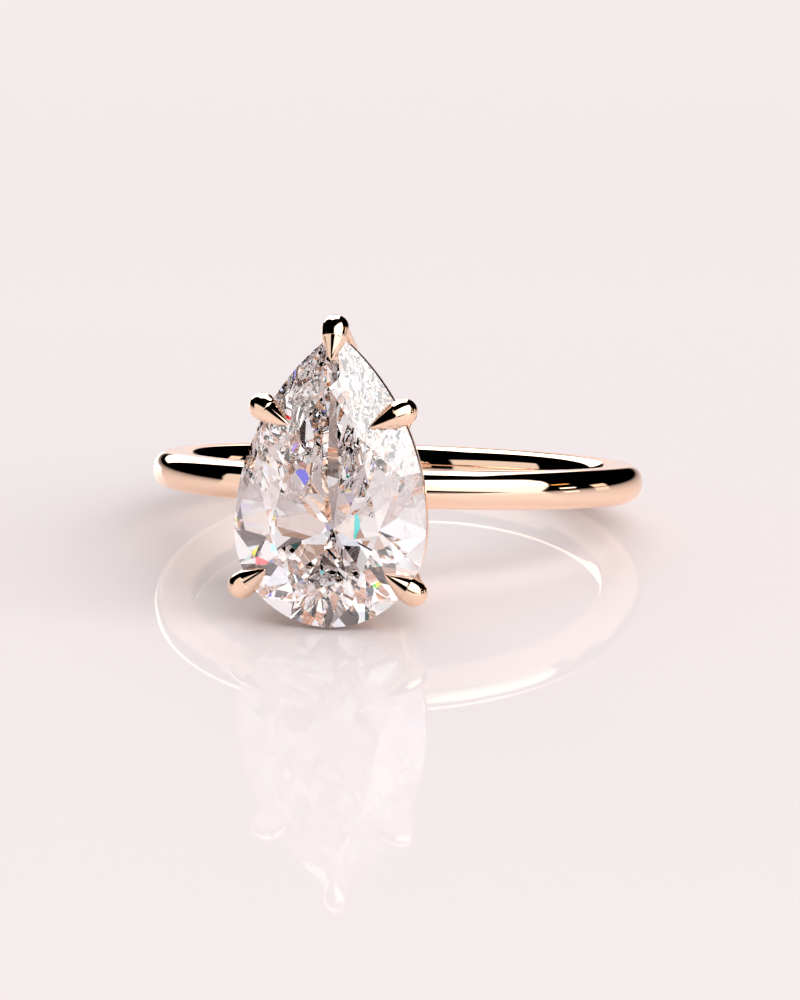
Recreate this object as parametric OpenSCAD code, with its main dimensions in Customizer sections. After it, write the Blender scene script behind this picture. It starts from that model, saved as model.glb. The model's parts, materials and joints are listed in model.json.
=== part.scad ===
// Pear solitaire engagement ring, lying on its side the way it comes to rest on a table.
// Millimetres. Up is +Z, the floor is z = 0, the stone faces -Y.
// Each piece is drawn in the ring's own frame (finger axis along Z, stone toward -Y, pear point
// toward +Z) and then laid down by at_rest().

/* [Shank] */
// Inside diameter of the finger bore (16.5 is a US size 6)
bore_d = 16.5; // [14:0.1:22]
// Thickness of the shank, bore to outside
band_t = 1.72; // [1.4:0.02:2.6]
// Width of the shank along the finger
band_w = 1.6; // [1.2:0.05:2.4]
// Radius of the shank's outer edges
outer_round = 0.72; // [0.3:0.02:0.9]
// Radius of the shank's edges at the finger
inner_round = 0.416; // [0.2:0.008:0.6]

/* [Stone] */
// Width of the pear stone across its girdle
stone_w = 7.4; // [5.5:0.1:9]
// Length of the pear stone, round end to point
stone_l = 11.2; // [8:0.1:13.5]
// Thickness of the girdle
girdle_t = 0.2; // [0.12:0.02:0.4]
// Width of the table as a share of the stone's width
table_share = 0.57; // [0.5:0.01:0.68]
// Slope of the main crown facets, degrees
crown_angle = 34.5; // [28:0.5:38]
// Depth of the pavilion as a share of the stone's width
pavilion_share = 0.43; // [0.38:0.01:0.47]
// How far the lower girdle facets run down to the culet
lower_share = 0.78; // [0.6:0.01:0.88]
// Slope of the star facets round the table, degrees
star_angle = 22; // [16:0.5:26]
// How far the table stops short of the pear's point
table_gap = 2.04; // [1.6:0.02:2.6]

/* [Setting] */
// Height of the girdle above the outside of the shank
girdle_rise = 4.48; // [3.8:0.02:6]
// How far the stone's middle sits to the point side of the shank's middle
stone_shift = 0.55; // [0:0.05:1.2]
// How far the upper rail lies inside the stone's outline
rail_inset = 0.12; // [0.02:0.02:0.2]
// Height of the upper rail
rail_h = 0.6; // [0.4:0.05:1]
// Thickness of the upper rail
rail_t = 0.5; // [0.35:0.02:0.7]
// How far the top of the upper rail lies below the girdle's middle
rail_drop = 0.78; // [0.6:0.02:1.4]
// How far the base rail lies inside the stone's outline
base_inset = 1.35; // [0.9:0.05:1.8]
// Height of the base rail
base_h = 0.95; // [0.8:0.05:1.6]
// Thickness of the base rail
base_t = 0.6; // [0.45:0.05:0.8]
// How far the base rail reaches down past the crown of the shank
base_sink = 0.62; // [0.45:0.02:0.9]

/* [Claws] */
// Diameter of a claw's rounded end
claw_d = 1.04; // [0.8:0.02:1.3]
// Diameter of a claw's post just under its end
post_d = 0.9; // [0.7:0.02:1.1]
// Diameter of a claw's post at its foot
foot_d = 0.76; // [0.6:0.02:1]
// Diameter of a claw's fine tip
tip_d = 0.12; // [0.08:0.02:0.3]
// Height of the middle of a claw's rounded end above the girdle
claw_rise = 0.2; // [0.1:0.02:0.4]
// How far a claw's tip reaches in over the stone
claw_reach = 1.1; // [0.8:0.05:1.6]
// How far the middle of a claw's end stands outside the stone's edge
claw_out = 0.18; // [0.1:0.02:0.35]
// The same for the two claws on the round end
round_claw_out = 0.3; // [0.1:0.02:0.4]
// Where the two claws on the round end stand, degrees below the widest line
round_angle = 34; // [25:1:45]
// Where the two shoulder claws stand on the side curves, degrees
shoulder_angle = 28.5; // [22:0.5:34]

/* [Fit] */
// Gap left in every solder joint and under every claw
joint_gap = 0.01; // [0.005:0.005:0.03]

/* [Hidden] */
$fa = 4;
$fs = 0.12;
big = 60;
bore_r = bore_d / 2;
band_r = bore_r + band_t;
// the shank's edge radii, kept within its section
edge_out = min(outer_round, 0.48 * band_w, 0.55 * band_t);
edge_in = min(inner_round, 0.4 * band_w, 0.4 * band_t);
// pear outline: a half circle and two side curves that meet at the point
head_r = stone_w / 2;
point_y = stone_l - head_r;
side_r = (head_r * head_r + point_y * point_y) / (2 * head_r);
side_x = side_r - head_r;
point_angle = acos(side_x / side_r);
head_y = stone_shift - stone_l / 2 + head_r;
girdle_z = band_r + girdle_rise;
table_inset = head_r * (1 - table_share);
crown_h = table_inset * tan(crown_angle);
pavilion_h = stone_w * pavilion_share;
rail_z = girdle_z - rail_drop - rail_h;
base_z = band_r - base_sink;
foot_inset = base_inset - 0.05;
claw_r = claw_d / 2;
tip_r = tip_d / 2;
// the ring rests on the back of the shank and on the gallery rail or the stone's round end,
// whichever lifts the head more; each is given by its height from the bore and its reach down
function rest_tilt(height, down) =
    let (a = height + band_r - edge_out, b = down - band_w / 2 + edge_out)
    atan2(b, a) - asin(edge_out / norm([a, b]));
tilt = max(
    rest_tilt(girdle_z - girdle_t / 2, head_r - head_y),
    rest_tilt(rail_z, head_r - rail_inset - head_y)
);
lift = edge_out + (band_r - edge_out) * sin(tilt) + (band_w / 2 - edge_out) * cos(tilt);
// front and back of the resting ring, to put its middle on y = 0
back_y = (band_r - edge_out) * cos(tilt) + (band_w / 2 - edge_out) * sin(tilt) + edge_out;
claw_front = -(girdle_z + claw_rise) * cos(tilt) - claw_r
    + (head_y - (head_r + round_claw_out) * sin(round_angle)) * sin(tilt);
table_front = -(girdle_z + girdle_t / 2 + crown_h) * cos(tilt)
    + (head_y - head_r + table_inset) * sin(tilt);
shift_y = -(back_y + min(claw_front, table_front)) / 2;

// point on the right-hand outline, its outward direction being a degrees above the widest line
function rim(a, inset = 0) =
    a <= 0 ? (head_r - inset) * [cos(a), sin(a)]
           : [-side_x + (side_r - inset) * cos(a), (side_r - inset) * sin(a)];
function point_of(inset) = sqrt(pow(side_r - inset, 2) - pow(side_x, 2));

// the five stations of the right-hand facets: outline point and outward direction
stations = [-90, -45, 0, shoulder_angle, 90];
function spot(i) = i == 4 ? [0, point_y] : rim(stations[i]);
function way(i) = [cos(stations[i]), sin(stations[i])];
function inset_at(i) = i == 4 ? table_gap : table_inset;
function table_spot(i) = spot(i) - inset_at(i) * way(i);
function mid_spot(i) =
    i == 3 ? rim((shoulder_angle + point_angle) / 2) : rim((stations[i] + stations[i + 1]) / 2);
// where two lines cross, each given by a point and the direction it is square to
function cross_at(p, u, q, v) =
    let (d = u[0] * v[1] - u[1] * v[0], pu = p * u, qv = q * v)
    [(pu * v[1] - qv * u[1]) / d, (qv * u[0] - pu * v[0]) / d];
function lift_to(p, z) = [p[0], p[1], z];
function unit(v) = v / norm(v);

// facet planes as [point, outward normal]; z is measured from the girdle's middle
top_z = girdle_t / 2;
low_z = -girdle_t / 2;
culet = [0, 0, low_z - pavilion_h];
function crown_main(i) =
    let (b = atan2(crown_h, inset_at(i)), u = way(i))
    [lift_to(spot(i), top_z), [u[0] * sin(b), u[1] * sin(b), cos(b)]];
function under_main(i) =
    let (u = way(i), g = atan2(pavilion_h, spot(i) * u))
    [lift_to(spot(i), low_z), [u[0] * sin(g), u[1] * sin(g), -cos(g)]];
function star(i) =
    let (p = table_spot(i), q = table_spot(i + 1), e = unit([(q - p)[1], -(q - p)[0]]))
    [lift_to(p, top_z + crown_h), [e[0] * sin(star_angle), e[1] * sin(star_angle), cos(star_angle)]];
function plane3(p, q, r) =
    let (n = unit(cross(q - p, r - p)))
    [p, n * p > 0 ? n : -n];
function outer_cross(i) = cross_at(spot(i), way(i), spot(i + 1), way(i + 1));
function star_tip(i) =
    let (k = lift_to(outer_cross(i), top_z),
         c = cross_at(table_spot(i), way(i), table_spot(i + 1), way(i + 1)),
         m = lift_to(c, top_z + crown_h),
         s = star(i),
         t = (s[1] * (s[0] - k)) / (s[1] * (m - k)))
    k + t * (m - k);
function lower_tip(i) = culet + (1 - lower_share) * (lift_to(outer_cross(i), low_z) - culet);
function crown_half(i, j) = plane3(lift_to(spot(j), top_z), lift_to(mid_spot(i), top_z), star_tip(i));
function under_half(i, j) = plane3(lift_to(spot(j), low_z), lift_to(mid_spot(i), low_z), lower_tip(i));
// the mains are cut a touch deeper than the halves, the way a real stone's facets meet
main_cut = 0.012;
facets = concat(
    [for (i = [0:4]) let (f = crown_main(i)) [f[0] - main_cut * f[1], f[1]]],
    [for (i = [0:4]) let (f = under_main(i)) [f[0] - main_cut * f[1], f[1]]],
    [for (i = [0:3]) star(i)],
    [for (i = [0:3]) crown_half(i, i)],
    [for (i = [0:3]) crown_half(i, i + 1)],
    [for (i = [0:3]) under_half(i, i)],
    [for (i = [0:3]) under_half(i, i + 1)]
);

module at_rest() {
    translate([0, shift_y, lift])
        rotate([-tilt, 0, 0])
            children();
}

// stone frame: +Z out from the finger, +Y toward the pear's point, origin on the bore's axis
module in_head() {
    at_rest()
        rotate([90, 0, 0])
            translate([0, head_y, 0])
                children();
}

// pear outline, moved in by the inset
module pear(inset = 0) {
    intersection() {
        translate([-side_x, 0])
            circle(r = side_r - inset);
        translate([side_x, 0])
            circle(r = side_r - inset);
        translate([-big / 2, 0])
            square([big, big]);
    }
    intersection() {
        circle(r = head_r - inset);
        translate([-big / 2, -big])
            square([big, big]);
    }
}

module pear_ring(inset, thick, z, high) {
    translate([0, 0, z])
        linear_extrude(high)
            difference() {
                pear(inset);
                pear(inset + thick);
            }
}

// the room a rail needs in a claw: from its outer face inward, with the joint gap all round
module rail_slot(inset, z, high) {
    translate([0, 0, z - joint_gap])
        linear_extrude(high + 2 * joint_gap)
            pear(inset - joint_gap);
}

// everything on the inner side of one facet plane
module half_space(p, n) {
    translate(p)
        rotate([0, acos(n[2]), atan2(n[1], n[0])])
            translate([-big / 2, -big / 2, -big])
                cube([big, big, big]);
}

// the cut stone, each face moved out by grow
module gem(grow = 0) {
    translate([0, 0, girdle_z])
        intersection() {
            translate([0, 0, -pavilion_h - 1])
                linear_extrude(pavilion_h + 1 + top_z + crown_h + grow)
                    pear(-grow);
            intersection_for (f = facets)
                intersection() {
                    half_space(f[0] + grow * f[1], f[1]);
                    mirror([1, 0, 0])
                        half_space(f[0] + grow * f[1], f[1]);
                }
        }
}

// section of the shank: flat at the finger with soft edges, full and round outside
module band_section(grow = 0) {
    w = band_w / 2 + grow;
    ro = edge_out + grow;
    ri = edge_in + grow;
    translate([band_r + grow - ro, w - ro])
        circle(r = ro);
    translate([band_r + grow - ro, ro - w])
        circle(r = ro);
    translate([bore_r - grow + ri, w - ri])
        circle(r = ri);
    translate([bore_r - grow + ri, ri - w])
        circle(r = ri);
    translate([bore_r - grow + ri, -w])
        square([band_t + 2 * grow - ro - ri, 2 * w]);
    translate([bore_r - grow, ri - w])
        square([band_t / 2 + grow, 2 * (w - ri)]);
    translate([bore_r + band_t / 2, ro - w])
        square([band_t / 2 + grow, 2 * (w - ro)]);
}

module band(grow = 0) {
    rotate_extrude()
        band_section(grow);
}

// a straight round post between two points
module post(p, q, r1, r2) {
    d = q - p;
    translate(p)
        rotate([0, acos(d[2] / norm(d)), atan2(d[1], d[0])])
            rotate([0, 0, 37])
                cylinder(h = norm(d), r1 = r1, r2 = r2);
}

// a side of a claw's end: a strip between two circles of its section, h1 and h2 along its length
module flank(h1, r1, h2, r2) {
    s = (r1 - r2) / (h2 - h1);
    c = sqrt(1 - s * s);
    polygon([[0, h1], [r1 * c, h1 + r1 * s], [r2 * c, h2 + r2 * s], [0, h2]]);
}

// a claw's end: a ball drawn out to a fine tip, turned about its own length
module drop(p, q, r1, r2) {
    d = q - p;
    n = norm(d);
    rm = 0.7 * r1;
    m = 0.5 * n;
    translate(p)
        rotate([0, acos(d[2] / n), atan2(d[1], d[0])])
            rotate_extrude()
                intersection() {
                    union() {
                        circle(r = r1);
                        flank(0, r1, m, rm);
                        translate([0, m])
                            circle(r = rm);
                        flank(m, rm, n, r2);
                        translate([0, n])
                            circle(r = r2);
                    }
                    translate([0, -big / 2])
                        square([big, big]);
                }
}

// one claw: its edge point, outward direction, how far it stands out, and its foot
module claw(edge, u, out, foot) {
    ball = lift_to(edge + out * u, girdle_z + claw_rise);
    tip_z = top_z + claw_reach * crown_h / table_inset + 0.05;
    tip = lift_to(edge - claw_reach * u, girdle_z + tip_z);
    base = lift_to(foot, base_z - 0.4);
    difference() {
        union() {
            drop(ball, tip, claw_r, tip_r);
            post(base, ball, foot_d / 2, post_d / 2);
        }
        gem(joint_gap);
        rail_slot(rail_inset, rail_z, rail_h);
        rail_slot(base_inset, base_z, base_h);
        translate([-big / 2, -big / 2, base_z - big])
            cube([big, big, big]);
    }
}

// the plain polished hoop
module shank() {
    color("#d9a07c")
        at_rest()
            band();
}

// the pear brilliant
module stone() {
    color("#eef2fa")
        in_head()
            gem();
}

// pear-shaped rail close under the girdle, let into the claws
module gallery_rail() {
    color("#cf9572")
        in_head()
            pear_ring(rail_inset, rail_t, rail_z, rail_h);
}

// smaller pear-shaped rail at the foot, notched over the shank
module base_rail() {
    color("#cf9572")
        difference() {
            in_head()
                pear_ring(base_inset, base_t, base_z, base_h);
            at_rest()
                band(joint_gap);
        }
}

module claw_point() {
    color("#e0aa86")
        in_head()
            claw([0, point_y], [0, 1], claw_out, [0, point_of(foot_inset)]);
}

module shoulder_claw() {
    a = shoulder_angle;
    claw(rim(a), [cos(a), sin(a)], claw_out, rim(a - 2.5, foot_inset));
}

module claw_shoulder_right() {
    color("#e0aa86")
        in_head()
            shoulder_claw();
}

module claw_shoulder_left() {
    color("#e0aa86")
        in_head()
            mirror([1, 0, 0])
                shoulder_claw();
}

module round_claw() {
    a = -round_angle;
    claw(rim(a), [cos(a), sin(a)], round_claw_out, rim(a, foot_inset));
}

module claw_round_right() {
    color("#e0aa86")
        in_head()
            round_claw();
}

module claw_round_left() {
    color("#e0aa86")
        in_head()
            mirror([1, 0, 0])
                round_claw();
}

shank();
stone();
gallery_rail();
base_rail();
claw_point();
claw_shoulder_left();
claw_shoulder_right();
claw_round_left();
claw_round_right();
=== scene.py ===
"""Looks of a rose gold solitaire ring with a pear-cut stone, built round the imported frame."""

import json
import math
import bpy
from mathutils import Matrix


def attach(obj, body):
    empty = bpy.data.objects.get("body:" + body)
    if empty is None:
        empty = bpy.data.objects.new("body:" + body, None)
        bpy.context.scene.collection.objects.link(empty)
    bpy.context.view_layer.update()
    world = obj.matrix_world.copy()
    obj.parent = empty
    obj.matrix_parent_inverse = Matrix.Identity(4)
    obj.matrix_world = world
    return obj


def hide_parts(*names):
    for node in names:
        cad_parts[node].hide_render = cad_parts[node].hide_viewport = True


bl_info = {
    "name": "Pear Solitaire Ring",
    "version": (1, 0, 0),
    "blender": (4, 5, 0),
    "location": "View3D > Sidebar > Ring",
    "description": "Shank, rails, claws and stone of a solitaire ring, with its studio stage",
    "category": "Object",
}

import bmesh
import bpy
from mathutils import Matrix, Vector

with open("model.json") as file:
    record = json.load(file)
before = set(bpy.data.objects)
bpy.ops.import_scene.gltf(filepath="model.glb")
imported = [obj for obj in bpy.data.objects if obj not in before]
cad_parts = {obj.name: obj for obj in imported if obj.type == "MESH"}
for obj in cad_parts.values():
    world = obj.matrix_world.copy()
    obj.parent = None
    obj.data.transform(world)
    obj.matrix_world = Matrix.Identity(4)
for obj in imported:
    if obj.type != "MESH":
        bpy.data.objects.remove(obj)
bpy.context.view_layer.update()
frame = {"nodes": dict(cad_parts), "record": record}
MM = 0.001
BODY = "root"
SAME_POINT = 1e-5  # points nearer than this, in millimetres, are one point
SAME_HEIGHT = 1e-4  # edges whose ends differ by less, in millimetres, lie level
CLOSING_GAP = 1e-4  # the two halves of an outline meet within this, in millimetres


def bore_mount():
    """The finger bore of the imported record: its middle, its direction and its radius in metres."""
    for mount in frame["record"]["mounts"]:
        if mount["name"] == "finger_bore":
            return Vector(mount["pos_m"]), Vector(mount["axis"]), mount["dims"]["r_mm"] * MM
    raise RuntimeError("the packed record has no finger bore")


BORE_MIDDLE, BORE_WAY, BORE_R = bore_mount()


def ring_frame():
    """Millimetres in the ring's own frame, bore along Z and head toward -Y, to the row frame."""
    side = Vector((1, 0, 0))
    up = BORE_WAY.normalized()
    turn = Matrix((side, up.cross(side), up)).transposed().to_4x4()
    return Matrix.Translation(BORE_MIDDLE) @ turn @ Matrix.Scale(MM, 4)


# ---------------------------------------------------------------- sizes and finishes


def length(name, about, mm, low=0.0, high=50.0):
    """A size in metres whose default is given in millimetres."""
    return bpy.props.FloatProperty(
        name=name,
        description=about,
        default=mm * MM,
        min=low * MM,
        max=high * MM,
        precision=5,
        subtype="DISTANCE",
        unit="LENGTH",
    )


def share(name, about, value, high=1.0):
    """A plain number from 0 up."""
    return bpy.props.FloatProperty(
        name=name, description=about, default=value, min=0.0, max=high, subtype="FACTOR"
    )


def tone(name, about, rgb):
    """A colour, in linear light."""
    return bpy.props.FloatVectorProperty(
        name=name, description=about, default=rgb, size=3, min=0.0, max=1.0, subtype="COLOR"
    )


class RingSizes(bpy.types.PropertyGroup):
    """Sizes of the ring's pieces."""

    back_thick: length("Shank thickness, back", "Metal from finger to outside at the back", 1.78)
    front_thick: length("Shank thickness, front", "Metal from finger to outside at the head", 1.67)
    back_wide: length("Shank width, back", "Width along the finger at the back", 1.62)
    front_wide: length("Shank width, front", "Width along the finger at the head", 1.54)
    stone_wide: length("Stone width", "Widest part of the stone", 7.4)
    stone_long: length("Stone length", "Stone from its round end to its point", 11.2)
    girdle_out: length("Stone height", "Girdle's distance from the middle of the bore", 14.45)
    head_shift: length("Stone shift", "Stone's middle above the shank's middle", 0.55)
    rail_drop: length("Gallery rail drop", "Rail's top under the girdle", 0.78)
    rail_high: length("Gallery rail height", "Height of the rail under the girdle", 0.6)
    rail_thick: length("Gallery rail thickness", "Wall of the rail under the girdle", 0.5)
    rail_inset: length("Gallery rail inset", "Rail's outer face in from the stone's edge", 0.12)
    base_low: length("Base rail place", "Base rail's foot from the middle of the bore", 9.35)
    base_high: length("Base rail height", "Height of the rail on the shank", 0.95)
    base_thick: length("Base rail thickness", "Wall of the rail on the shank", 0.6)
    base_inset: length("Base rail inset", "Base rail's outer face in from the stone's edge", 1.35)
    claw_wide: length("Claw width", "Width of a claw's round end", 1.05)
    post_thick: length("Post thickness", "Thickness of a claw's post at the girdle", 0.9)
    foot_thick: length("Post foot", "Thickness of a claw's post at its foot", 0.76)


class RingFinish(bpy.types.PropertyGroup):
    """Colours and polish of the ring and its stage."""

    gold: tone("Rose gold", "Colour of the polished metal", (1.0, 0.735, 0.56))
    gold_rough: share("Gold roughness", "How soft the polished metal's reflections are", 0.035)
    handwork: share("Hand polish", "Strength of the waviness that a buffing wheel leaves", 0.25)
    stone_tint: tone("Stone tint", "Colour of the clear stone", (1.0, 1.0, 1.0))
    floor: tone("Floor", "Colour of the glossy floor", (0.86, 0.785, 0.79))
    backdrop: tone("Backdrop", "Colour of the empty studio", (0.888, 0.815, 0.823))


# ---------------------------------------------------------------- shared helpers


def sizes():
    return bpy.context.scene.ring_sizes


def finish():
    return bpy.context.scene.ring_finish


def mm(value):
    """A size in metres as millimetres."""
    return value / MM


def soft_shade(bm, sharp_angle):
    """Rounded faces are shaded smooth, and creases stay crisp."""
    sharp = math.radians(sharp_angle)
    for face in bm.faces:
        face.smooth = True
    for edge in bm.edges:
        edge.smooth = len(edge.link_faces) == 2 and edge.calc_face_angle(0) < sharp


def clean(bm):
    """Merges doubled points and turns every face outward."""
    bmesh.ops.remove_doubles(bm, verts=bm.verts, dist=SAME_POINT)
    bmesh.ops.recalc_face_normals(bm, faces=bm.faces)


def to_object(bm, name, place, material):
    """Puts the shape in its place in the row frame and makes it an object at the origin."""
    bm.transform(place)
    mesh = bpy.data.meshes.new(name)
    bm.to_mesh(mesh)
    bm.free()
    mesh.materials.append(material)
    piece = bpy.data.objects.new(name, mesh)
    bpy.context.scene.collection.objects.link(piece)
    return piece


def settle(piece, slot, *nodes):
    """The piece rides on the ring's body and stands for its CAD nodes."""
    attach(piece, BODY)
    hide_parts(*nodes)
    return piece


# ---------------------------------------------------------------- pear outline


class Pear:
    """The stone's outline in millimetres: a half round and two curves that meet in a point."""

    ROUND_STEPS = 28
    SIDE_STEPS = 36

    def __init__(self):
        s = sizes()
        self.half = mm(s.stone_wide) / 2
        self.tip = mm(s.stone_long) - self.half
        self.side_r = (self.half**2 + self.tip**2) / (2 * self.half)
        self.side_x = self.side_r - self.half
        self.drop = mm(s.head_shift) - mm(s.stone_long) / 2 + self.half
        self.girdle = mm(s.girdle_out)

    def place(self):
        """Stone frame, Z out from the finger and Y toward the point, to the row frame."""
        lift = Matrix.Translation((0, 0, self.drop))
        return ring_frame() @ lift @ Matrix.Rotation(math.radians(90), 4, "X")

    def rim(self, angle, inset=0.0):
        """Point of the right-hand outline that faces this many degrees above the widest line."""
        a = math.radians(angle)
        if angle <= 0:
            r = self.half - inset
            return Vector((r * math.cos(a), r * math.sin(a), 0))
        r = self.side_r - inset
        return Vector((r * math.cos(a) - self.side_x, r * math.sin(a), 0))

    def point_of(self, inset):
        """How far above the widest line the outline moved in by inset comes to its point."""
        return math.sqrt((self.side_r - inset) ** 2 - self.side_x**2)

    def outline(self, bm, inset, height):
        """A closed pear-shaped loop of edges, spun from single points."""
        r = self.side_r - inset
        sweep = math.acos(self.side_x / r)
        made = []
        start = bm.verts.new((0, inset - self.half, height))
        for way in (1, -1):
            arcs = (
                ((0, 0, height), math.radians(90), self.ROUND_STEPS),
                ((-way * self.side_x, 0, height), sweep, self.SIDE_STEPS),
            )
            tip = start
            for centre, angle, steps in arcs:
                spun = bmesh.ops.spin(
                    bm,
                    geom=[tip],
                    cent=centre,
                    axis=(0, 0, way),
                    angle=angle,
                    steps=steps,
                )
                made += [e for v in self.chain(tip, steps) for e in v.link_edges]
                tip = spun["geom_last"][0]
        edges = list(dict.fromkeys(made))
        verts = list(dict.fromkeys(v for e in edges for v in e.verts))
        bmesh.ops.remove_doubles(bm, verts=verts, dist=CLOSING_GAP)
        return [e for e in edges if e.is_valid]

    @staticmethod
    def chain(vert, steps):
        """The points of an arc, walked from its first one."""
        found = [vert]
        for _ in range(steps):
            ahead = [e.other_vert(found[-1]) for e in found[-1].link_edges]
            ahead = [v for v in ahead if v not in found]
            if not ahead:
                break
            found.append(ahead[-1])
        return found[1:]


# ---------------------------------------------------------------- materials


def group(name, inputs, outputs):
    """An empty node group with named sockets; returns it with its input and output nodes."""
    tree = bpy.data.node_groups.new(name, "ShaderNodeTree")
    for label, kind, value in inputs:
        socket = tree.interface.new_socket(name=label, in_out="INPUT", socket_type=kind)
        if value is not None:
            socket.default_value = value
    for label, kind in outputs:
        tree.interface.new_socket(name=label, in_out="OUTPUT", socket_type=kind)
    entry = tree.nodes.new("NodeGroupInput")
    leave = tree.nodes.new("NodeGroupOutput")
    return tree, entry, leave


def plug(tree, socket, value):
    """Links another socket to this one, or sets it to a number, a direction or a colour."""
    if isinstance(value, bpy.types.NodeSocket):
        tree.links.new(value, socket)
    elif value is not None:
        socket.default_value = value


def math_node(tree, operation, a, b=None, c=None, clamp=False):
    """One sum; a, b and c are numbers or sockets."""
    node = tree.nodes.new("ShaderNodeMath")
    node.operation = operation
    node.use_clamp = clamp
    for socket, value in zip(node.inputs, (a, b, c)):
        plug(tree, socket, value)
    return node.outputs[0]


def vector_node(tree, operation, a, b=None, c=None, scale=None):
    """One sum on directions or colours, given as values or sockets."""
    node = tree.nodes.new("ShaderNodeVectorMath")
    node.operation = operation
    for socket, value in zip(node.inputs, (a, b, c)):
        plug(tree, socket, value)
    if scale is not None:
        plug(tree, node.inputs["Scale"], scale)
    return node.outputs["Value" if operation == "DOT_PRODUCT" else "Vector"]


def mix_node(tree, factor, a, b, blend="MIX"):
    """Mixes or adds two colours, given as values or sockets."""
    node = tree.nodes.new("ShaderNodeMix")
    node.data_type = "RGBA"
    node.blend_type = blend
    for label, value in (("Factor", factor), ("A", a), ("B", b)):
        plug(tree, node.inputs[label], value)
    return node.outputs["Result"]


def group_node(tree, made, inputs):
    """Places a node group in a tree and fills its inputs; returns its outputs."""
    node = tree.nodes.new("ShaderNodeGroup")
    node.node_tree = made
    for label, value in inputs.items():
        plug(tree, node.inputs[label], value)
    return node.outputs


def noise(tree, place, scale, detail, roughness=0.5):
    """Noise at a place; the scale is in waves per metre."""
    node = tree.nodes.new("ShaderNodeTexNoise")
    node.inputs["Scale"].default_value = scale
    node.inputs["Detail"].default_value = detail
    node.inputs["Roughness"].default_value = roughness
    tree.links.new(place, node.inputs["Vector"])
    return node.outputs["Fac"]


def hand_polish():
    """Buffing marks: a slow waviness, a fine drag and faint changes of sheen."""
    if "Hand Polish" in bpy.data.node_groups:
        return bpy.data.node_groups["Hand Polish"]
    tree, entry, leave = group(
        "Hand Polish",
        [
            ("Roughness", "NodeSocketFloat", 0.04),
            ("Strength", "NodeSocketFloat", 0.25),
            ("Colour", "NodeSocketColor", (0.9, 0.6, 0.4, 1.0)),
        ],
        [
            ("Colour", "NodeSocketColor"),
            ("Roughness", "NodeSocketFloat"),
            ("Height", "NodeSocketFloat"),
        ],
    )
    place = tree.nodes.new("ShaderNodeTexCoord").outputs["Object"]
    across_wheel = tree.nodes.new("ShaderNodeMapping")
    across_wheel.inputs["Scale"].default_value = (1.0, 1.0, 9.0)
    tree.links.new(place, across_wheel.inputs["Vector"])
    wave = noise(tree, place, scale=900.0, detail=2.0, roughness=0.45)
    drag = noise(tree, across_wheel.outputs["Vector"], scale=4200.0, detail=3.0)
    patch = noise(tree, place, scale=420.0, detail=4.0, roughness=0.6)
    # the drag is a twentieth as deep as the waviness
    height = math_node(tree, "ADD", wave, math_node(tree, "MULTIPLY", drag, 0.05))
    height = math_node(tree, "MULTIPLY", height, entry.outputs["Strength"])
    tree.links.new(height, leave.inputs["Height"])
    # roughness runs from 0.55 to 1.45 of its set value over the patches
    spread = math_node(tree, "MULTIPLY_ADD", patch, 0.9, 0.55)
    rough = math_node(tree, "MULTIPLY", spread, entry.outputs["Roughness"])
    tree.links.new(rough, leave.inputs["Roughness"])
    # and the colour's richness from 0.92 to 1.08
    warm = tree.nodes.new("ShaderNodeHueSaturation")
    warm.inputs["Fac"].default_value = 1.0
    tree.links.new(entry.outputs["Colour"], warm.inputs["Color"])
    rich = math_node(tree, "MULTIPLY_ADD", patch, 0.16, 0.92)
    tree.links.new(rich, warm.inputs["Saturation"])
    tree.links.new(warm.outputs["Color"], leave.inputs["Colour"])
    return tree


def rose_gold(name, rough_scale, bump):
    """Polished rose gold; bump is the depth of the buffing marks in millimetres."""
    f = finish()
    material = bpy.data.materials.new(name)
    material.use_nodes = True
    tree = material.node_tree
    shader = tree.nodes["Principled BSDF"]
    polish = group_node(
        tree,
        hand_polish(),
        {
            "Colour": (*f.gold, 1.0),
            "Roughness": f.gold_rough * rough_scale,
            "Strength": f.handwork,
        },
    )
    raised = tree.nodes.new("ShaderNodeBump")
    raised.inputs["Strength"].default_value = 1.0
    raised.inputs["Distance"].default_value = bump * MM
    shader.inputs["Metallic"].default_value = 1.0
    shader.inputs["Specular Tint"].default_value = (1.0, 0.93, 0.88, 1.0)
    tree.links.new(polish["Colour"], shader.inputs["Base Color"])
    tree.links.new(polish["Roughness"], shader.inputs["Roughness"])
    tree.links.new(polish["Height"], raised.inputs["Height"])
    tree.links.new(raised.outputs["Normal"], shader.inputs["Normal"])
    material.diffuse_color = (*f.gold, 1.0)
    return material


def clear_stone():
    """Water-clear, strongly refracting stone."""
    material = bpy.data.materials.new("clear_stone")
    material.use_nodes = True
    shader = material.node_tree.nodes["Principled BSDF"]
    shader.inputs["Base Color"].default_value = (*finish().stone_tint, 1.0)
    shader.inputs["Roughness"].default_value = 0.0
    shader.inputs["Metallic"].default_value = 0.0
    shader.inputs["IOR"].default_value = 2.42
    shader.inputs["Transmission Weight"].default_value = 1.0
    material.diffuse_color = (0.93, 0.95, 1.0, 1.0)
    return material


# ---------------------------------------------------------------- shank

DRAWN_R = 10.0  # the section is swept on this circle first, then set to its real sizes
FULLNESS = 2.25  # 2 is a plain oval, more is fuller
INNER_FLATNESS = 0.7  # 1 is as round inside as outside, less is flatter


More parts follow.
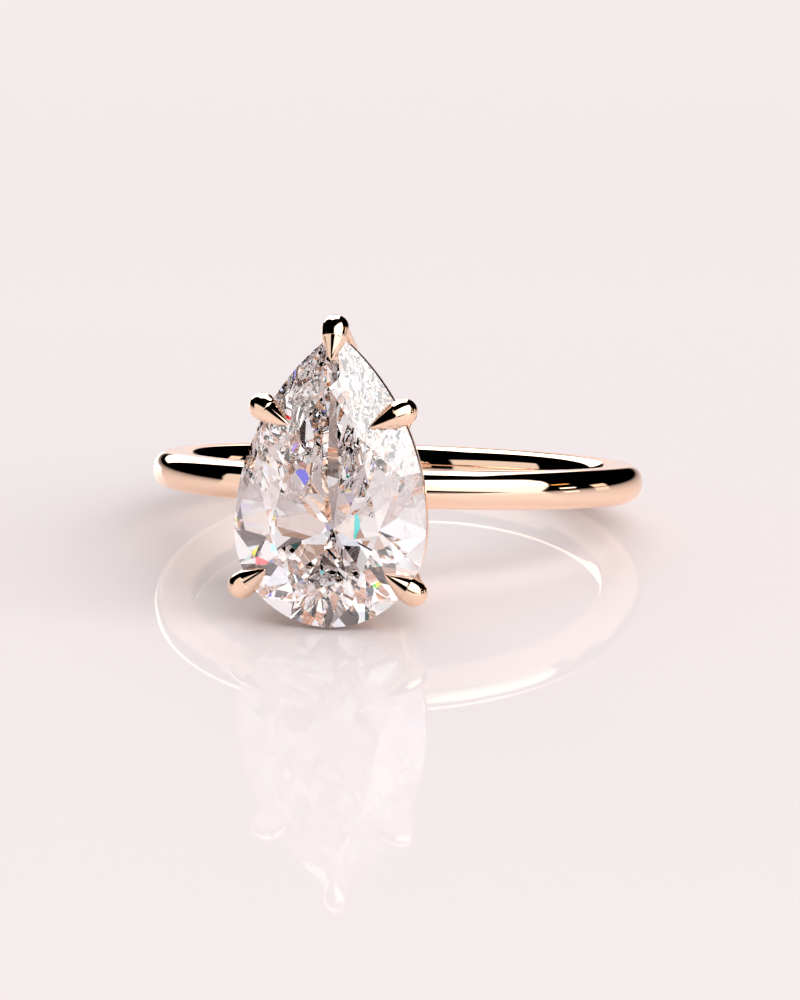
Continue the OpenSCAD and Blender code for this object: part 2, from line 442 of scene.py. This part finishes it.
class RING_OT_shank(bpy.types.Operator):
    """Builds the polished shank, a little fuller at the back than at the head"""

    bl_idname = "ring.shank"
    bl_label = "Shank"

    def execute(self, context):
        s = sizes()
        bore = mm(BORE_R)
        bm = bmesh.new()
        section = bmesh.ops.create_circle(bm, segments=44, radius=1.0)["verts"]
        for v in section:
            x, y = v.co.x, v.co.y
            grow = (abs(x) ** FULLNESS + abs(y) ** FULLNESS) ** (-1 / FULLNESS)
            v.co = Vector((x * grow, 0, y * grow))
            if v.co.x < 0:
                v.co.x = -abs(v.co.x) ** INNER_FLATNESS
        bmesh.ops.translate(bm, verts=section, vec=(DRAWN_R, 0, 0))
        bmesh.ops.spin(
            bm,
            geom=bm.verts[:] + bm.edges[:],
            cent=(0, 0, 0),
            axis=(0, 0, 1),
            angle=math.tau,
            steps=300,
            use_merge=True,
        )
        for v in bm.verts:
            around = math.atan2(v.co.y, v.co.x)
            # 1 at the head, 0 at the back
            front = 0.5 - 0.5 * math.sin(around)
            front = front * front * (3 - 2 * front)
            thick = mm(s.back_thick + (s.front_thick - s.back_thick) * front)
            wide = mm(s.back_wide + (s.front_wide - s.back_wide) * front)
            out = math.hypot(v.co.x, v.co.y) - DRAWN_R
            r = bore + thick / 2 * (1 + out)
            v.co = Vector((r * math.cos(around), r * math.sin(around), v.co.z * wide / 2))
        clean(bm)
        soft_shade(bm, 60)
        gold = rose_gold("rose_gold_shank", 1.0, 0.004)
        piece = to_object(bm, "polished_shank", ring_frame(), gold)
        settle(piece, "rose_gold_shank", "shank")
        return {"FINISHED"}


# ---------------------------------------------------------------- rails


def rail(name, node, inset, wall, low, high, round_by):
    """A pear-shaped rail with rounded edges, on the stone's outline moved in by inset."""
    pear = Pear()
    bm = bmesh.new()
    outer = pear.outline(bm, inset, low)
    inner = pear.outline(bm, inset + wall, low)
    bmesh.ops.bridge_loops(bm, edges=outer + inner)
    raised = bmesh.ops.extrude_face_region(bm, geom=bm.faces[:])
    lifted = [g for g in raised["geom"] if isinstance(g, bmesh.types.BMVert)]
    bmesh.ops.translate(bm, verts=lifted, vec=(0, 0, high))
    clean(bm)
    corners = [e for e in bm.edges if e.is_manifold and e.calc_face_angle(0) > math.radians(60)]
    corners = [e for e in corners if abs(e.verts[0].co.z - e.verts[1].co.z) < SAME_HEIGHT]
    bmesh.ops.bevel(
        bm,
        geom=corners,
        offset=round_by,
        offset_type="OFFSET",
        segments=5,
        profile=0.5,
        affect="EDGES",
        material=-1,
    )
    clean(bm)
    soft_shade(bm, 40)
    piece = to_object(bm, name, pear.place(), rose_gold(name + "_gold", 1.3, 0.003))
    return settle(piece, "rose_gold_head", node)


class RING_OT_rails(bpy.types.Operator):
    """Builds the gallery rail under the girdle and the base rail on the shank"""

    bl_idname = "ring.rails"
    bl_label = "Rails"

    def execute(self, context):
        s = sizes()
        rail(
            "gallery_rail_bright",
            "gallery_rail",
            mm(s.rail_inset),
            mm(s.rail_thick),
            mm(s.girdle_out - s.rail_drop - s.rail_high),
            mm(s.rail_high),
            round_by=0.19,
        )
        rail(
            "base_rail_bright",
            "base_rail",
            mm(s.base_inset),
            mm(s.base_thick),
            mm(s.base_low),
            mm(s.base_high),
            round_by=0.2,
        )
        return {"FINISHED"}


# ---------------------------------------------------------------- stone


class RING_OT_stone(bpy.types.Operator):
    """Gives the cut stone its clear, brilliant finish"""

    bl_idname = "ring.stone"
    bl_label = "Stone"

    def execute(self, context):
        stone = frame["nodes"]["stone"]
        stone.data.materials.clear()
        stone.data.materials.append(clear_stone())
        return {"FINISHED"}


# ---------------------------------------------------------------- claws

# angles on the stone's outline above its widest line, in degrees
SHOULDER = 28.5
ROUND_END = -34.0
SHOULDER_FOOT = SHOULDER - 2.5
# millimetres
FOOT_OUT = 0.05  # a foot's middle, out from the base rail's face
FOOT_LIFT = 0.12  # and above the rail's lower edge
HALF_GIRDLE = 0.1
TIP_LIFT = 0.04  # a tip's middle above the crown
TURN_LIFT = 0.16  # the claw turns inward this far above the girdle
BEND = 0.5  # length of the path that the bend takes on each side of the turn
CROWN_SLOPE = 0.687  # the crown's rise for each millimetre in from the girdle
NECK = 0.93  # a claw's size behind its tip, as a share of its widest
# rings of points along a claw
POST_STEPS, BEND_STEPS, TIP_STEPS = 14, 16, 18
# the seat is cut by a stone larger by this much, so that the two never share a face
SEAT_ROOM = 1.0025


def bezier(points, t):
    """Point on the curve that four points steer."""
    a, b, c, d = points
    u = 1 - t
    return a * u**3 + b * (3 * u * u * t) + c * (3 * u * t * t) + d * t**3


def blend_steps(stops, t):
    """Smooth value between (place, value) stops."""
    for (t0, v0), (t1, v1) in zip(stops, stops[1:]):
        if t <= t1:
            k = (t - t0) / (t1 - t0)
            k = k * k * (3 - 2 * k)
            return v0 + (v1 - v0) * k
    return stops[-1][1]


def grow_claw(bm, path, radii, side, segments=36):
    """Draws a round section along a path, then closes its foot and draws its tip to a pole."""

    def stance(i):
        ahead = (path[min(i + 1, len(path) - 1)] - path[max(i - 1, 0)]).normalized()
        across = (side - ahead * side.dot(ahead)).normalized()
        turn = Matrix((across, ahead.cross(across), ahead)).transposed().to_4x4()
        return Matrix.Translation(path[i]) @ turn @ Matrix.Scale(radii[i], 4)

    bmesh.ops.create_circle(bm, cap_ends=True, segments=segments, radius=1.0, matrix=stance(0))
    edges = [e for e in bm.edges if len(e.link_faces) == 1]
    for i in range(1, len(path)):
        grown = bmesh.ops.extrude_edge_only(bm, edges=edges)["geom"]
        verts = [g for g in grown if isinstance(g, bmesh.types.BMVert)]
        edges = [g for g in grown if isinstance(g, bmesh.types.BMEdge)]
        bmesh.ops.transform(bm, matrix=stance(i) @ stance(i - 1).inverted(), verts=verts)
    tip = list(dict.fromkeys(v for e in edges for v in e.verts))
    middle = sum((v.co for v in tip), Vector()) / len(tip)
    bmesh.ops.pointmerge(bm, verts=tip, merge_co=middle)


def stone_cutter():
    """A closed copy of the stone, a hair larger, that cuts the seats."""
    source = frame["nodes"]["stone"]
    bm = bmesh.new()
    bm.from_mesh(source.data)
    bmesh.ops.remove_doubles(bm, verts=bm.verts, dist=1e-7)
    bmesh.ops.dissolve_limit(bm, angle_limit=math.radians(0.5), verts=bm.verts, edges=bm.edges)
    bmesh.ops.recalc_face_normals(bm, faces=bm.faces)
    middle = sum((v.co for v in bm.verts), Vector()) / len(bm.verts)
    grow = Matrix.Scale(SEAT_ROOM, 4)
    bm.transform(Matrix.Translation(middle) @ grow @ Matrix.Translation(-middle))
    mesh = bpy.data.meshes.new("seat_cutter")
    bm.to_mesh(mesh)
    bm.free()
    cutter = bpy.data.objects.new("seat_cutter", mesh)
    bpy.context.scene.collection.objects.link(cutter)
    return cutter


def cut_seat(piece, cutter):
    """Takes the stone's room out of a claw."""
    seat = piece.modifiers.new("Seat", "BOOLEAN")
    seat.operation = "DIFFERENCE"
    seat.solver = "EXACT"
    seat.use_self = True
    seat.object = cutter
    bpy.context.view_layer.update()
    graph = bpy.context.evaluated_depsgraph_get()
    made = bpy.data.meshes.new_from_object(piece.evaluated_get(graph))
    piece.modifiers.clear()
    old = piece.data
    piece.data = made
    bpy.data.meshes.remove(old)
    made.name = piece.name
    bm = bmesh.new()
    bm.from_mesh(made)
    bmesh.ops.remove_doubles(bm, verts=bm.verts, dist=1e-8)
    soft_shade(bm, 38)
    bm.to_mesh(made)
    bm.free()


class RING_OT_claws(bpy.types.Operator):
    """Builds the five claws, each a post that turns over the girdle and ends in a drawn-out tip"""

    bl_idname = "ring.claws"
    bl_label = "Claws"

    def execute(self, context):
        pear = Pear()
        foot_in = mm(sizes().base_inset) - FOOT_OUT
        point = Vector((0, pear.tip, 0))
        point_foot = Vector((0, pear.point_of(foot_in), 0))
        # name, place on the outline, outward direction, how far out the claw turns,
        # place of the foot, side of the ring, how far in the tip reaches
        plan = [("claw_point", point, Vector((0, 1, 0)), 0.20, point_foot, 1, 1.08)]
        for side_name, way in (("right", 1), ("left", -1)):
            for kind, angle, foot_angle, out, reach in (
                ("shoulder", SHOULDER, SHOULDER_FOOT, 0.23, 1.15),
                ("round", ROUND_END, ROUND_END, 0.36, 0.95),
            ):
                u = Vector((math.cos(math.radians(angle)), math.sin(math.radians(angle)), 0))
                name = f"claw_{kind}_{side_name}"
                foot = pear.rim(foot_angle, foot_in)
                plan.append((name, pear.rim(angle), u, out, foot, way, reach))
        gold = rose_gold("rose_gold_claws", 0.9, 0.003)
        cutter = stone_cutter()
        for name, edge, u, out, foot, way, reach in plan:
            piece = self.claw(name, pear, edge, u, out, foot, way, reach, gold)
            cut_seat(piece, cutter)
            settle(piece, "rose_gold_claws", name)
        bpy.data.objects.remove(cutter)
        return {"FINISHED"}

    def claw(self, name, pear, edge, u, out, foot, way, reach, gold):
        """One claw, drawn on the right-hand side and mirrored for the left."""
        s = sizes()
        foot_r, post_r, head = mm(s.foot_thick) / 2, mm(s.post_thick) / 2, mm(s.claw_wide) / 2
        up = Vector((0, 0, 1))
        turn = edge + u * out + up * (pear.girdle + TURN_LIFT)
        tip_height = pear.girdle + HALF_GIRDLE + reach * CROWN_SLOPE + TIP_LIFT
        tip = edge - u * reach + up * tip_height
        base = foot + up * (mm(s.base_low) + FOOT_LIFT)
        lean = (turn - base).normalized()
        in_way = (tip - turn).normalized()
        # the post, straight up from its foot
        path, radii = [], []
        straight = (turn - base).length - BEND
        for i in range(POST_STEPS):
            t = i / POST_STEPS
            path.append(base + lean * straight * t)
            radii.append(foot_r + (post_r - foot_r) * t)
        # over the girdle
        start = base + lean * straight
        begin = turn + in_way * BEND
        over = [start, start + lean * 0.42, turn + u * 0.1 + up * 0.06, begin]
        swell = [(0, post_r), (0.55, head), (1, head * NECK)]
        for i in range(BEND_STEPS):
            t = i / BEND_STEPS
            path.append(bezier(over, t))
            radii.append(blend_steps(swell, t))
        # down to the tip, drawn out with a slightly full side and a rounded end
        run = (tip - begin).length
        for i in range(TIP_STEPS + 1):
            t = i / TIP_STEPS
            path.append(begin + in_way * run * t)
            full = NECK * (1 - t) ** 0.82 if t < 1 else 0.0
            blunt = 0.045 * math.sqrt(max(1 - t, 0.0)) + 0.012
            radii.append(max(head * full, blunt))
        bm = bmesh.new()
        grow_claw(bm, path, radii, u.cross(up))
        if way < 0:
            bm.transform(Matrix.Scale(-1, 4, (1, 0, 0)))
        clean(bm)
        soft_shade(bm, 60)
        return to_object(bm, name + "_polished", pear.place(), gold)


# ---------------------------------------------------------------- stage


def softbox_group():
    """How much of a studio light a direction meets: a soft-edged rectangle on the sky."""
    tree, entry, leave = group(
        "Softbox",
        [
            ("Direction", "NodeSocketVector", None),
            ("Centre", "NodeSocketVector", (0, 0, 1)),
            ("Side", "NodeSocketVector", (1, 0, 0)),
            ("Up", "NodeSocketVector", (0, 1, 0)),
            ("Half Width", "NodeSocketFloat", 0.5),
            ("Half Height", "NodeSocketFloat", 0.5),
            ("Edge", "NodeSocketFloat", 0.05),
        ],
        [("Mask", "NodeSocketFloat")],
    )
    look = entry.outputs["Direction"]
    ahead = vector_node(tree, "DOT_PRODUCT", look, entry.outputs["Centre"])
    depth = math_node(tree, "MAXIMUM", ahead, 0.001)
    masks = []
    for way, half in (("Side", "Half Width"), ("Up", "Half Height")):
        off = vector_node(tree, "DOT_PRODUCT", look, entry.outputs[way])
        off = math_node(tree, "DIVIDE", off, depth)
        room = math_node(tree, "SUBTRACT", entry.outputs[half], math_node(tree, "ABSOLUTE", off))
        soft = math_node(tree, "DIVIDE", room, entry.outputs["Edge"])
        masks.append(math_node(tree, "ADD", soft, 0.5, clamp=True))
    tree.links.new(math_node(tree, "MULTIPLY", masks[0], masks[1]), leave.inputs["Mask"])
    return tree


def toward(azimuth, elevation):
    """Direction from the ring; azimuth 0 is the front and 90 the right-hand side."""
    a, e = math.radians(azimuth), math.radians(elevation)
    return Vector((math.sin(a) * math.cos(e), -math.cos(a) * math.cos(e), math.sin(e)))


# how much green and blue a fully warm light lacks
WARM_GREEN, WARM_BLUE = 0.45, 0.85

# the room's reflectors: where each one's share begins, and its colour
REFLECTORS = (
    (0.0, (1.06, 0.99, 1.01)),
    (0.33, (1.00, 0.82, 0.78)),
    (0.48, (0.60, 0.38, 0.29)),
    (0.60, (0.98, 0.97, 1.08)),
    (0.70, (0.22, 0.21, 0.60)),
    (0.74, (0.14, 0.09, 0.09)),
    (0.83, (0.008, 0.006, 0.012)),
)

REFLECTOR_CELLS = 3.6  # cells across one unit of direction

# lights: azimuth, elevation and roll in degrees, half width, half height and edge as slopes
# from the light's middle, strength, warmth, and the fill that it gives the floor
STUDIO = (
    (54.0, 32.0, -12.0, 0.70, 0.56, 0.05, 1.5, 0.0, 2.3),
    (64.0, 42.0, -8.0, 0.52, 0.36, 0.10, 1.9, 0.0, 0.0),
    (-160.0, 38.0, 7.0, 0.40, 0.66, 0.05, 4.0, 0.0, 1.0),
    (-52.0, 12.0, 8.0, 0.55, 0.33, 0.04, 0.9, 0.1, 0.0),
    (98.0, 6.0, 0.0, 0.09, 0.03, 0.02, 3.0, 0.2, 0.0),
    (100.0, 21.0, 0.0, 0.10, 0.025, 0.02, 1.6, 1.0, 0.0),
    (121.0, 5.0, 0.0, 0.10, 0.07, 0.03, 1.2, 0.3, 0.0),
)


def studio_group():
    """All the studio's lights for one direction."""
    box = softbox_group()
    tree, entry, leave = group(
        "Studio",
        [("Direction", "NodeSocketVector", None)],
        [("Light", "NodeSocketColor"), ("Fill", "NodeSocketFloat")],
    )
    total = filled = None
    for azimuth, elevation, roll, half_w, half_h, edge, strength, warmth, fill in STUDIO:
        centre = toward(azimuth, elevation)
        level = Vector((math.cos(math.radians(azimuth)), math.sin(math.radians(azimuth)), 0))
        side = Matrix.Rotation(math.radians(roll), 3, centre) @ level
        mask = group_node(
            tree,
            box,
            {
                "Direction": entry.outputs["Direction"],
                "Centre": centre,
                "Side": side,
                "Up": side.cross(centre),
                "Half Width": half_w,
                "Half Height": half_h,
                "Edge": edge,
            },
        )["Mask"]
        on_floor = math_node(tree, "MULTIPLY", mask, fill)
        filled = on_floor if filled is None else math_node(tree, "ADD", filled, on_floor)
        green = strength * (1 - WARM_GREEN * warmth)
        blue = strength * (1 - WARM_BLUE * warmth)
        lamp = vector_node(tree, "SCALE", (strength, green, blue), scale=mask)
        total = lamp if total is None else vector_node(tree, "ADD", total, lamp)
    tree.links.new(total, leave.inputs["Light"])
    tree.links.new(filled, leave.inputs["Fill"])
    return tree


def room_group():
    """What the stone gathers: a bright room broken up by dark and tinted reflectors."""
    tree, entry, leave = group(
        "Room",
        [("Direction", "NodeSocketVector", None)],
        [("Light", "NodeSocketColor")],
    )
    cells = tree.nodes.new("ShaderNodeTexVoronoi")
    cells.inputs["Scale"].default_value = REFLECTOR_CELLS
    cells.inputs["Randomness"].default_value = 1.0
    tree.links.new(entry.outputs["Direction"], cells.inputs["Vector"])
    pick = tree.nodes.new("ShaderNodeSeparateColor")
    tree.links.new(cells.outputs["Color"], pick.inputs[0])
    room = tree.nodes.new("ShaderNodeValToRGB")
    room.color_ramp.interpolation = "CONSTANT"
    tree.links.new(pick.outputs[0], room.inputs["Fac"])
    ramp = room.color_ramp.elements
    for i, (at, rgb) in enumerate(REFLECTORS):
        stop = ramp[i] if i < 2 else ramp.new(at)
        stop.position = at
        stop.color = (*rgb, 1.0)
    tree.links.new(room.outputs["Color"], leave.inputs["Light"])
    return tree


# the far wall behind the ring; widths and heights are parts of a direction of length 1
WALL_AZIMUTH = -169.8
WALL_COLOUR = (1.0, 0.92, 0.93)
WALL_HALF_WIDTH = 0.17
# no light shows within this much of the wall's middle, and below this height
CLEAR_HALF_WIDTH = 0.10
CLEAR_HEIGHT = 0.36
AMBIENT = (0.60, 0.60, 0.60, 1.0)
# each colour goes through the stone a little to the side of the next
FIRE = (0.003, 0.0, -0.003)
LAMPS_IN_STONE = (0.22, 0.22, 0.22)


def one_of_each(tree, shades):
    """A colour with its red, green and blue from the first, second and third shade."""
    joined = tree.nodes.new("ShaderNodeCombineColor")
    for i, shade in enumerate(shades):
        split = tree.nodes.new("ShaderNodeSeparateColor")
        tree.links.new(shade, split.inputs[0])
        tree.links.new(split.outputs[i], joined.inputs[i])
    return joined.outputs[0]


def far_wall(tree, look):
    """Where a direction meets the pale far wall, and where it is free to meet the lights."""
    far = toward(WALL_AZIMUTH, 0.0)
    height = vector_node(tree, "DOT_PRODUCT", look, (0, 0, 1))
    across = vector_node(tree, "DOT_PRODUCT", look, (-far.y, far.x, 0))
    across = math_node(tree, "ABSOLUTE", across)
    facing = vector_node(tree, "DOT_PRODUCT", look, tuple(far))
    front = math_node(tree, "LESS_THAN", facing, 0.0)
    aside = math_node(tree, "SUBTRACT", across, CLEAR_HALF_WIDTH)
    aside = math_node(tree, "MULTIPLY", aside, 30.0, clamp=True)
    above = math_node(tree, "SUBTRACT", height, CLEAR_HEIGHT)
    above = math_node(tree, "MULTIPLY", above, 14.0, clamp=True)
    free = math_node(tree, "MAXIMUM", math_node(tree, "MAXIMUM", aside, above), front)
    behind = math_node(tree, "SUBTRACT", WALL_HALF_WIDTH, across)
    behind = math_node(tree, "MULTIPLY", behind, 20.0, clamp=True)
    behind = math_node(tree, "MULTIPLY", behind, math_node(tree, "SUBTRACT", 1.0, front))
    # full up to a height of 0.075, gone at 0.325
    low = math_node(tree, "MULTIPLY_ADD", height, -4.0, 1.3, clamp=True)
    return math_node(tree, "MULTIPLY", behind, low), free


def studio_world():
    """A flat backdrop for the eye, an even fill for the floor, a dark studio with soft lights
    for the polish, and a room of reflectors for light that has been through the stone."""
    world = bpy.data.worlds.new("studio")
    bpy.context.scene.world = world
    world.use_nodes = True
    tree = world.node_tree
    tree.nodes.clear()
    look = tree.nodes.new("ShaderNodeTexCoord").outputs["Generated"]
    rays = tree.nodes.new("ShaderNodeLightPath").outputs
    studio, room = studio_group(), room_group()
    # light that has been through the stone, whatever it met after that
    inside = math_node(tree, "GREATER_THAN", rays["Transmission Depth"], 0.5)
    lamps, corners = [], []
    for shift in FIRE:
        fringe = vector_node(tree, "SCALE", (shift, shift, shift), scale=inside)
        moved = vector_node(tree, "ADD", look, fringe)
        lights = group_node(tree, studio, {"Direction": moved})
        lamps.append(lights["Light"])
        corners.append(group_node(tree, room, {"Direction": moved})["Light"])
    wall, free = far_wall(tree, look)
    lamps = vector_node(tree, "SCALE", one_of_each(tree, lamps), scale=free)
    wall = vector_node(tree, "SCALE", WALL_COLOUR, scale=wall)
    dark = mix_node(tree, 1.0, lamps, wall, blend="ADD")
    pale = mix_node(tree, 1.0, lights["Fill"], AMBIENT, blend="ADD")
    lit = mix_node(tree, rays["Is Glossy Ray"], pale, dark)
    gathered = one_of_each(tree, corners)
    inner = vector_node(tree, "MULTIPLY_ADD", lamps, LAMPS_IN_STONE, gathered)
    through = mix_node(tree, inside, lit, inner)
    seen = mix_node(tree, rays["Is Camera Ray"], through, (*finish().backdrop, 1.0))
    glow = tree.nodes.new("ShaderNodeBackground")
    tree.links.new(seen, glow.inputs["Color"])
    end = tree.nodes.new("ShaderNodeOutputWorld")
    tree.links.new(glow.outputs["Background"], end.inputs["Surface"])
    return world


FLOOR_R = 1.6  # metres
FLOOR_ROUGH = 0.03
FLOOR_IOR = 1.12  # low, so that the floor's mirror is faint


def glossy_floor():
    """A wide, pale, glossy sheet under the ring."""
    bm = bmesh.new()
    bmesh.ops.create_circle(bm, cap_ends=True, segments=96, radius=FLOOR_R)
    mesh = bpy.data.meshes.new("floor")
    bm.to_mesh(mesh)
    bm.free()
    floor = bpy.data.objects.new("floor", mesh)
    bpy.context.scene.collection.objects.link(floor)
    material = bpy.data.materials.new("floor_gloss")
    material.use_nodes = True
    shader = material.node_tree.nodes["Principled BSDF"]
    shader.inputs["Base Color"].default_value = (*finish().floor, 1.0)
    shader.inputs["Roughness"].default_value = FLOOR_ROUGH
    shader.inputs["IOR"].default_value = FLOOR_IOR
    mesh.materials.append(material)
    return floor


LENS, SENSOR = 176.37, 36.0  # millimetres
CAMERA_SIDE, CAMERA_ABOVE = 10.202, 13.827  # degrees to the right and above the floor
CAMERA_AWAY = 0.2  # metres
CAMERA_TARGET = (0.0916, 3.0849, 1.4436)  # millimetres


def camera():
    """A long lens, low over the floor and a little to the right."""
    data = bpy.data.cameras.new("camera")
    data.lens = LENS
    data.sensor_width = SENSOR
    data.clip_start = 0.01
    data.clip_end = 10.0
    eye = bpy.data.objects.new("camera", data)
    bpy.context.scene.collection.objects.link(eye)
    back = toward(CAMERA_SIDE, CAMERA_ABOVE)
    eye.location = Vector(CAMERA_TARGET) * MM + back * CAMERA_AWAY
    eye.rotation_mode = "QUATERNION"
    eye.rotation_quaternion = (-back).to_track_quat("-Z", "Y")
    bpy.context.scene.camera = eye
    return eye


class RING_OT_stage(bpy.types.Operator):
    """Sets up the floor, the studio light and the camera"""

    bl_idname = "ring.stage"
    bl_label = "Stage"

    def execute(self, context):
        scene = context.scene
        glossy_floor()
        studio_world()
        camera()
        scene.view_settings.view_transform = "Standard"
        scene.view_settings.look = "None"
        # light turns many times inside the stone before it leaves
        scene.cycles.max_bounces = 48
        scene.cycles.transmission_bounces = 40
        scene.cycles.glossy_bounces = 20
        scene.cycles.sample_clamp_indirect = 6.0
        return {"FINISHED"}


# ---------------------------------------------------------------- panel and main


class RING_PT_panel(bpy.types.Panel):
    """Ring tools"""

    bl_idname = "RING_PT_panel"
    bl_label = "Pear Solitaire Ring"
    bl_space_type = "VIEW_3D"
    bl_region_type = "UI"
    bl_category = "Ring"

    def draw(self, context):
        layout = self.layout
        for step in STEPS:
            layout.operator(step.bl_idname)
        for props in (context.scene.ring_sizes, context.scene.ring_finish):
            box = layout.box()
            for name in props.__annotations__:
                box.prop(props, name)


STEPS = (RING_OT_stage, RING_OT_shank, RING_OT_rails, RING_OT_claws, RING_OT_stone)
CLASSES = (RingSizes, RingFinish, *STEPS, RING_PT_panel)


def register():
    for cls in CLASSES:
        bpy.utils.register_class(cls)
    bpy.types.Scene.ring_sizes = bpy.props.PointerProperty(type=RingSizes)
    bpy.types.Scene.ring_finish = bpy.props.PointerProperty(type=RingFinish)


def unregister():
    del bpy.types.Scene.ring_finish
    del bpy.types.Scene.ring_sizes
    for cls in reversed(CLASSES):
        bpy.utils.unregister_class(cls)


def main():
    register()
    bpy.ops.ring.stage()
    bpy.ops.ring.shank()
    bpy.ops.ring.rails()
    bpy.ops.ring.claws()
    bpy.ops.ring.stone()
    bpy.context.view_layer.update()


if __name__ == "__main__":
    main()
